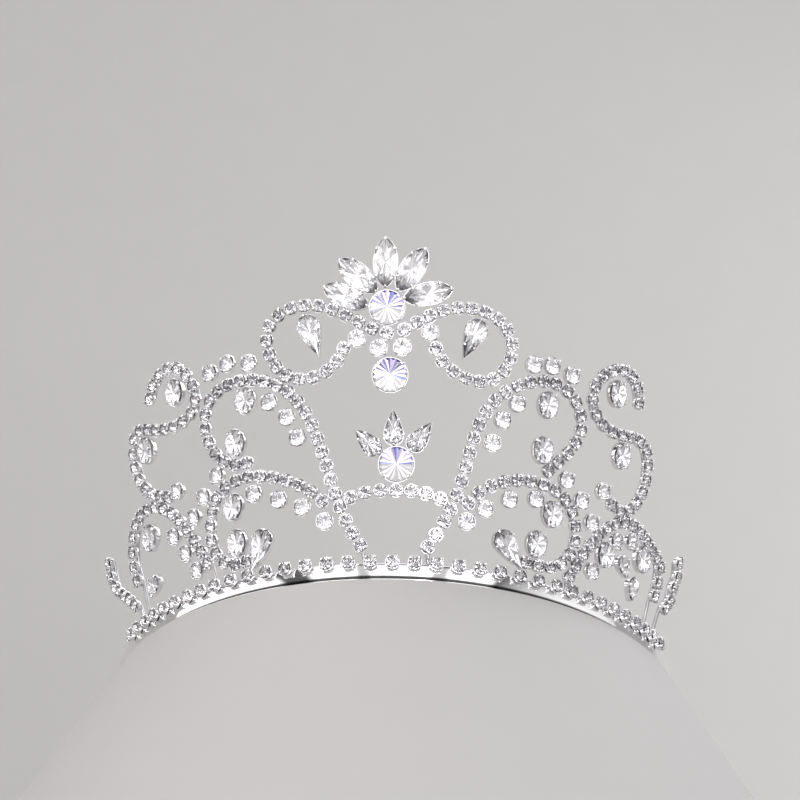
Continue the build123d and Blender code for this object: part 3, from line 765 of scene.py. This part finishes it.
# ------------------------------------------------------------------ crystal row and cup chains
def build_chain(name, seats):
    cups, stones = Batch(), Batch()
    cup, stone = CHAIN_MASTER
    for i, place in enumerate(seats):
        place = jitter(place, i + len(name) * 7, 2.2)
        cups.add(cup, place)
        stones.add(stone, place @ Matrix.Rotation(radians(11 * i), 4, "Z"))
    cups.make(name + "_cup_set", [PLATE], "silver_plate", smooth=40, replaced=name + "_cups")
    stones.make(name + "_stone_set", [SMALL_GLASS, SMALL_FOIL], "crystal",
                replaced=name + "_crystals")


build_chain("base_row", [seat(ROW_SHIFT + i * ROW_PITCH, 0.0, lean=0)
                         for i in range(-ROW_COUNT_EACH_SIDE, ROW_COUNT_EACH_SIDE + 1)])
for chain, cup_places in CHAINS.items():
    build_chain(chain, chain_seats(cup_places))
build_chain("end_hook", [place for row in END_HOOKS.values() for place in chain_seats(row)])


# ------------------------------------------------------------------ larger crystals
def build_group(name, items, iridescent=False):
    """items are (master, rows) pairs."""
    cups, stones = Batch(), Batch()
    count = 0
    for (cup, stone), rows in items:
        for along, up, angle in rows:
            place = jitter(seat(along, up, angle), count * 3 + len(name), 2.5)
            cups.add(cup, place)
            stones.add(stone, place)
            count += 1
    cups.make(name + "_setting_set", [PLATE], "silver_plate", smooth=40,
              replaced=name + "_settings")
    stones.make(name + "_stone_set",
                [IRIDESCENT_FOIL, IRIDESCENT_FOIL] if iridescent else [GLASS, FOIL],
                "crystal_ab" if iridescent else "crystal", replaced=name + "_crystals")


def inward(rows, distance):
    """Slide settings back along their own axis."""
    return [(along - distance * cos(radians(angle)), up - distance * sin(radians(angle)), angle)
            for along, up, angle in rows]


build_group("crest_navette", [(LONG_NAVETTE_MASTER, inward(CREST_NAVETTES_LONG, 0.1)),
                              (SHORT_NAVETTE_MASTER, inward(CREST_NAVETTES_SHORT, 0.2))])
build_group("rivoli", [(RIVOLI_MASTER, RIVOLIS)], iridescent=True)
build_group("pendant_round", [(ROUND_MASTER, PENDANT_ROUNDS)])
build_group("crown_pear", [(CROWN_PEAR_MASTER, CROWN_PEARS)])
for side, pears, droplets, ovals, rounds in (
        ("left", LEFT_PEARS, LEFT_DROPLETS, LEFT_OVALS, LEFT_ROUNDS),
        ("right", RIGHT_PEARS, RIGHT_DROPLETS, RIGHT_OVALS, RIGHT_ROUNDS)):
    build_group(side + "_pear", [(LARGE_PEAR_MASTER, pears), (DROPLET_MASTER, droplets)])
    build_group(side + "_oval", [(OVAL_MASTER, ovals)])
    build_group(side + "_round", [(ROUND_MASTER, rounds)])


# ------------------------------------------------------------------ backing wires, chain links
def smooth_path(points, steps=6):
    """Catmull-Rom curve through layout points."""
    path = []
    last = len(points) - 1
    for i in range(last):
        p0, p1, p2, p3 = [Vector(points[min(max(k, 0), last)]) for k in range(i - 1, i + 3)]
        for j in range(steps):
            t = j / steps
            path.append(0.5 * ((2 * p1) + (p2 - p0) * t +
                               (2 * p0 - 5 * p1 + 4 * p2 - p3) * t * t +
                               (3 * p1 - p0 - 3 * p2 + p3) * t ** 3))
    path.append(Vector(points[-1]))
    return path


def footed(name, row):
    """The chain's row, carried down to the band where its wire has a foot."""
    first, last = WIRE_FEET.get(name, (None, None))
    start = [] if first is None else [(row[0][0] + first, FOOT)]
    end = [] if last is None else [(row[-1][0] + last, FOOT)]
    return start + row + end


def build_wires(name, chains):
    wires = Batch()
    for chain, cup_places in chains.items():
        row = footed(chain, cup_places)
        wires.add(tube([on_wall(*p, WIRE_OFFSET) for p in smooth_path(row)], WIRE_RADIUS))
        for p, q in zip(row[:-1], row[1:]):
            # the link that joins one cup of the chain to the next
            a, b = on_wall(*p, LINK_OFFSET), on_wall(*q, LINK_OFFSET)
            if (a - b).length < LINK_MAX_GAP:
                wires.add(tube([a.lerp(b, t) for t in (0.3, 0.42, 0.58, 0.7)], LINK_RADIUS,
                               sides=8))
    wires.make(name + "_form", [WIRE], "wire", smooth=50, replaced=name)


build_wires("centre_arch_wire", {"centre_arch": CHAINS["centre_arch"]})
for shape in ("loop", "main_scroll", "lower_arch", "s_scroll", "rear_arch"):
    for side in ("left_", "right_"):
        build_wires(side + shape + "_wire", {side + shape: CHAINS[side + shape]})
build_wires("end_hook_wires", END_HOOKS)


# ------------------------------------------------------------------ solder where settings meet
def fancy_spots(length, width, pear=False):
    """Circles that stand in for a shaped setting: (mm along its long axis, radius)."""
    head = -length / 2 + width / 2 if pear else 0.0
    spots = [(head, width / 2)]
    for share, radius in ((0.30, width * 0.24), (0.46, 0.25)):
        spots += [(end * share * length, radius) for end in ((1,) if pear else (1, -1))]
    return spots


def contact_circles():
    """(along, up, radius, owner); circles of one owner are never soldered together."""
    circles = []
    for name, row in {**CHAINS, **END_HOOKS}.items():
        circles += [(along, up, CHAIN_CUP_RADIUS, name) for along, up in row]
    large_pear = fancy_spots(*LARGE_PEAR, pear=True)
    droplet = fancy_spots(*DROPLET, pear=True)
    oval = [(0.0, 3.3)]
    small_round = [(0.0, 2.35)]
    groups = [
        (CREST_NAVETTES_LONG, fancy_spots(12.9, 6.3)),
        (CREST_NAVETTES_SHORT, fancy_spots(12.6, 5.9)),
        (RIVOLIS, [(0.0, 4.6)]), (PENDANT_ROUNDS, small_round),
        (CROWN_PEARS, fancy_spots(*CROWN_PEAR, pear=True)),
        (LEFT_PEARS, large_pear), (RIGHT_PEARS, large_pear),
        (LEFT_DROPLETS, droplet), (RIGHT_DROPLETS, droplet),
        (LEFT_OVALS, oval), (RIGHT_OVALS, oval),
        (LEFT_ROUNDS, small_round), (RIGHT_ROUNDS, small_round),
    ]
    for group, (rows, spots) in enumerate(groups):
        for i, (along, up, angle) in enumerate(rows):
            # true length, at this height, of 1 mm along the plan ellipse
            stretch = (on_wall(along + 0.5, up) - on_wall(along - 0.5, up)).length
            for distance, radius in spots:
                circles.append((along + distance * cos(radians(angle)) / stretch,
                                up + distance * sin(radians(angle)), radius, (group, i)))
    return circles


def build_solder():
    max_gap = 0.2
    search = 12      # layout distance beyond which no two settings can touch
    solder = Batch()
    joints = 0
    for first, second in combinations(contact_circles(), 2):
        along0, up0, radius0, owner0 = first
        along1, up1, radius1, owner1 = second
        if owner0 == owner1 or abs(along1 - along0) > search or abs(up1 - up0) > search:
            continue
        distance = (on_wall(along0, up0) - on_wall(along1, up1)).length
        gap = distance - radius0 - radius1
        if gap < max_gap and distance > 0.1:
            part = (radius0 + gap / 2) / distance
            along, up = along0 + (along1 - along0) * part, up0 + (up1 - up0) * part
            outward = seat(along, up).to_3x3().col[2].normalized()
            solder.add(solder_blob(on_wall(along, up, SOLDER_OFFSET),
                                   0.55 + 0.08 * sin(joints * 1.7), outward))
            joints += 1
    solder.make("solder_joints", [SOLDER], "wire", smooth=60)


build_solder()


# ------------------------------------------------------------------ headband
def strip_section():
    """Rounded rectangle: (0 at the outer face .. 1 at the inner face, z)."""
    r, far, top = STRIP_EDGE_RADIUS, STRIP_THICKNESS - STRIP_EDGE_RADIUS, \
        STRIP_HEIGHT - STRIP_EDGE_RADIUS
    section = []
    for across, z, start in ((r, r, 180), (far, r, 270), (far, top, 0), (r, top, 90)):
        for step in (0, 30, 60, 90):
            t = radians(start + step)
            section.append(((across + r * cos(t)) / STRIP_THICKNESS, z + r * sin(t)))
    return section


def strip_curve():
    """The strip round the front half of the ellipse."""
    steps = 260
    section = strip_section()
    strip = Template()
    rings = []
    for i in range(steps + 1):
        a = -pi / 2 + pi * i / steps
        outer, inner = [Vector((half_width * sin(a), PLAN_CENTRE - half_depth * cos(a)))
                        for half_width, half_depth in (STRIP_OUTER, STRIP_INNER)]
        rings.append(strip.ring([(*outer.lerp(inner, part), z) for part, z in section]))
    strip.close_tube(rings)
    return strip.fixed()


def strip_tail(side):
    """Straight tail with a rounded end and a punched eye; side is -1 or 1 (left, right)."""
    bm = bmesh.new()
    corner = STRIP_HEIGHT / 2 - 0.05
    rim = [(0.0, 0.0)]
    for centre_z, start in ((corner, -pi / 2), (STRIP_HEIGHT - corner, 0.0)):
        for k in range(13):
            a = start + pi / 2 * k / 12
            rim.append((TAIL_LENGTH - corner + corner * cos(a), centre_z + corner * sin(a)))
    rim.append((0.0, STRIP_HEIGHT))
    eye = [(TAIL_LENGTH - STRIP_HEIGHT / 2 + EYE_RADIUS * cos(2 * pi * k / 28),
            STRIP_HEIGHT / 2 + EYE_RADIUS * sin(2 * pi * k / 28)) for k in range(28)]
    loops = [[bm.verts.new((0, y, z)) for y, z in points] for points in (rim, eye)]
    edges = [bm.edges.new((loop[i], loop[(i + 1) % len(loop)]))
             for loop in loops for i in range(len(loop))]
    bmesh.ops.triangle_fill(bm, edges=edges, use_beauty=True)
    extruded = bmesh.ops.extrude_face_region(bm, geom=bm.faces[:])
    for item in extruded["geom"]:
        if isinstance(item, bmesh.types.BMVert):
            item.co.x += 1.0
    bmesh.ops.recalc_face_normals(bm, faces=bm.faces)
    # sharp edges, except those that lie against the end of the curved strip
    sharp = [e for e in bm.edges if e.calc_face_angle(0) > 1.2 and
             (e.verts[0].co.y > 0.01 or e.verts[1].co.y > 0.01)]
    for v in bm.verts:
        v.co.x = side * STRIP_OUTER[0] - side * (v.co.x * STRIP_THICKNESS)
        v.co.y += PLAN_CENTRE
    bmesh.ops.recalc_face_normals(bm, faces=bm.faces)
    bmesh.ops.bevel(bm, geom=sharp, offset=0.12, segments=2, affect="EDGES", profile=0.6)
    return Template.from_bmesh(bm).fixed()


headband = Batch()
for part in (strip_curve(), strip_tail(-1), strip_tail(1)):
    headband.add(part)
headband.make("headband_strip", [BAND], "polished_band", smooth=30, replaced="headband")


# ------------------------------------------------------------------ stage: mound and backdrop
def stage_material(name, one_sided=False):
    color = (0.75, 0.73, 0.725)
    material, tree, surface = new_material(name)
    noise = add_noise(tree, add_node(tree, "TexCoord"), Scale=60)
    tone = add_ramp(tree, noise, [(0.0, darker(color, 0.97)), (1.0, color)])
    tree.links.new(tone, surface.inputs["Base Color"])
    set_inputs(surface, {"Roughness": 0.75})
    if one_sided:
        # clear from behind, so that the back of the tiara can be looked at
        geometry = add_node(tree, "NewGeometry")
        clear = add_node(tree, "BsdfTransparent")
        mix = add_node(tree, "MixShader")
        tree.links.new(geometry.outputs["Backfacing"], mix.inputs[0])
        tree.links.new(surface.outputs[0], mix.inputs[1])
        tree.links.new(clear.outputs[0], mix.inputs[2])
        tree.links.new(mix.outputs[0], tree.nodes["Material Output"].inputs["Surface"])
    return material


def stage_object(name, mesh_name, vertices, faces, material):
    mesh = bpy.data.meshes.new(mesh_name)
    mesh.from_pydata(vertices, [], faces)
    mesh.materials.append(material)
    mesh.polygons.foreach_set("use_smooth", [True] * len(mesh.polygons))
    return add_object(name, mesh)


def mound_height(distance):
    """Height at a distance outside the flat top: a rounded edge, then a steep slope."""
    top, edge_radius, slope = -0.05, 1.2, radians(58)
    edge = edge_radius * sin(slope)
    if distance <= 0:
        return top
    if distance < edge:
        return top - (edge_radius - sqrt(edge_radius * edge_radius - distance * distance))
    return top - edge_radius * (1 - cos(slope)) - (distance - edge) * tan(slope)


def build_mound(material):
    """Pale mound under the band: a flat elliptical top that falls away all round."""
    sides = 120
    lowest = -150.0
    half_width, half_depth = [half - 0.08 for half in STRIP_OUTER]
    # mm outside the edge of the flat top
    distances = ([-75, -60, -45, -30, -20, -10, -5, -2, 0] + [0.12 * k for k in range(1, 13)] +
                 [1.5 + 1.5 * k for k in range(1, 15)] + [35, 48, 70, 100, 140])
    vertices, faces = [], []
    for d in distances:
        for i in range(sides):
            a = 2 * pi * i / sides
            if d < 0:
                # inside the edge, the rings shrink in proportion
                x = half_width * (1 + d / 80) * sin(a)
                y = PLAN_CENTRE - half_depth * (1 + d / 80) * cos(a)
            else:
                x, y = (half_width + d) * sin(a), PLAN_CENTRE - (half_depth + d) * cos(a)
            vertices.append((x * MM, y * MM, max(mound_height(d), lowest) * MM))
    for k in range(len(distances) - 1):
        for i in range(sides):
            j = (i + 1) % sides
            faces.append((k * sides + i, k * sides + j,
                          (k + 1) * sides + j, (k + 1) * sides + i))
    faces.append(tuple(range(sides))[::-1])
    stage_object("stage_mound", "stage_floor", vertices, faces, material)


def build_backdrop(material):
    """Wide floor below, curving up behind into a backdrop."""
    half_width = 1.8
    # columns: y from the ellipse's centre, z; metres
    profile = [(-1.9, -1.05), (-0.6, -0.36), (-0.25, -0.175), (0.1, -0.105), (0.3, -0.06),
               (0.46, 0.03), (0.56, 0.2), (0.6, 0.5), (0.6, 1.6)]
    vertices = [(x, y + PLAN_CENTRE * MM, z) for y, z in profile
                for x in (-half_width, half_width)]
    faces = [(2 * k, 2 * k + 1, 2 * k + 3, 2 * k + 2) for k in range(len(profile) - 1)]
    backdrop = stage_object("stage_backdrop", "stage_sweep", vertices, faces, material)
    soft = backdrop.modifiers.new("soft", "SUBSURF")
    soft.levels = 3
    soft.render_levels = 3


build_mound(stage_material("pale_stage"))
build_backdrop(stage_material("pale_backdrop", one_sided=True))


# ------------------------------------------------------------------ camera
def build_camera():
    """Long-lens camera in front and below, looking up at the tiara."""
    pitch, heading, roll = radians(23.752), radians(-0.575), radians(1.362)
    distance = 900.0
    view_width = 200.0       # mm seen across at the target
    target = Vector((0.16, PLAN_CENTRE - PLAN_HALF_DEPTH, 43.09 + STRIP_HEIGHT))
    forward = Vector((sin(heading) * cos(pitch), cos(heading) * cos(pitch), sin(pitch)))
    right = Vector((cos(heading), -sin(heading), 0)).normalized()
    up = right.cross(forward)
    camera = bpy.data.cameras.new("camera")
    camera.sensor_width = 36.0
    camera.lens = camera.sensor_width * distance / view_width
    camera.clip_start = 0.02
    camera.clip_end = 20.0
    placed = add_object("camera", camera)
    placed.matrix_world = matrix_from_columns(
        right * cos(roll) + up * sin(roll), up * cos(roll) - right * sin(roll), -forward,
        (target - forward * distance) * MM)
    bpy.context.scene.camera = placed


bpy.context.scene.view_settings.view_transform = "Standard"
build_camera()


# ------------------------------------------------------------------ lights
def add_softbox(name, place, size, power, color, aim=(0, -0.06, 0.04)):
    """Rectangular area light; place and aim are metres from the ellipse's centre."""
    light = bpy.data.lights.new(name, "AREA")
    light.shape = "RECTANGLE"
    light.size, light.size_y = size
    light.energy = power
    light.color = color
    placed = add_object(name, light)
    placed.location = (place[0], place[1] + PLAN_CENTRE * MM, place[2])
    direction = (Vector(aim) - Vector(place)).normalized()
    placed.rotation_euler = direction.to_track_quat("-Z", "Y").to_euler()


add_softbox("key_softbox", place=(-0.50, -0.80, 0.55), size=(0.40, 0.40), power=3.2,
            color=(1.0, 0.985, 0.97))
add_softbox("front_softbox", place=(0.22, -1.05, -0.22), size=(0.16, 0.22), power=1.6,
            color=(0.98, 0.98, 1.0))
add_softbox("rim_softbox", place=(0.55, 0.20, 0.55), size=(0.35, 0.35), power=2.2,
            color=(0.97, 0.98, 1.0), aim=(0, -0.04, 0.04))
add_softbox("low_softbox", place=(-0.30, -0.85, -0.62), size=(0.30, 0.16), power=1.2,
            color=(1.0, 0.97, 0.98))


# ------------------------------------------------------------------ world
def build_world():
    """Light tent: bright panels with dark cards between, so facets read light and dark."""
    # stops: (position from -1 to +1 on the axis, mapped to 0..1; brightness)
    height_stops = [(0.0, 0.55), (0.16, 0.65), (0.19, 0.4), (0.24, 0.4), (0.27, 1.0),
                    (0.53, 1.0), (0.55, 0.04), (0.60, 0.04), (0.62, 0.95), (0.76, 0.95),
                    (0.79, 0.05), (0.88, 0.05), (0.91, 0.9), (1.0, 0.9)]
    side_stops = [(0.0, 0.9), (0.09, 0.9), (0.11, 0.05), (0.17, 0.05), (0.20, 1.0),
                  (0.335, 1.0), (0.35, 0.3), (0.385, 0.3), (0.40, 1.0), (0.63, 1.0),
                  (0.65, 0.3), (0.69, 0.3), (0.71, 1.0), (0.84, 1.0), (0.86, 0.05),
                  (1.0, 0.6)]
    world = bpy.data.worlds.new("studio")
    bpy.context.scene.world = world
    world.use_nodes = True
    tree = world.node_tree
    background = tree.nodes["Background"]
    coordinates = add_node(tree, "TexCoord")
    split = add_node(tree, "SeparateXYZ")
    tree.links.new(coordinates.outputs["Generated"], split.inputs[0])
    panels = []
    for axis, stops in (("Z", height_stops), ("X", side_stops)):
        position = add_map_range(tree, split.outputs[axis], {"From Min": -1.0, "From Max": 1.0})
        panels.append(add_ramp(tree, position, [(p, (grey, grey, grey)) for p, grey in stops]))
    tree.links.new(multiply_colors(tree, *panels), background.inputs["Color"])
    # the tent lights matt surfaces less than it shows in reflections
    light_path = add_node(tree, "LightPath")
    strength = add_map_range(tree, light_path.outputs["Is Diffuse Ray"],
                             {"To Min": 2.15, "To Max": 0.6})
    tree.links.new(strength, background.inputs["Strength"])


build_world()
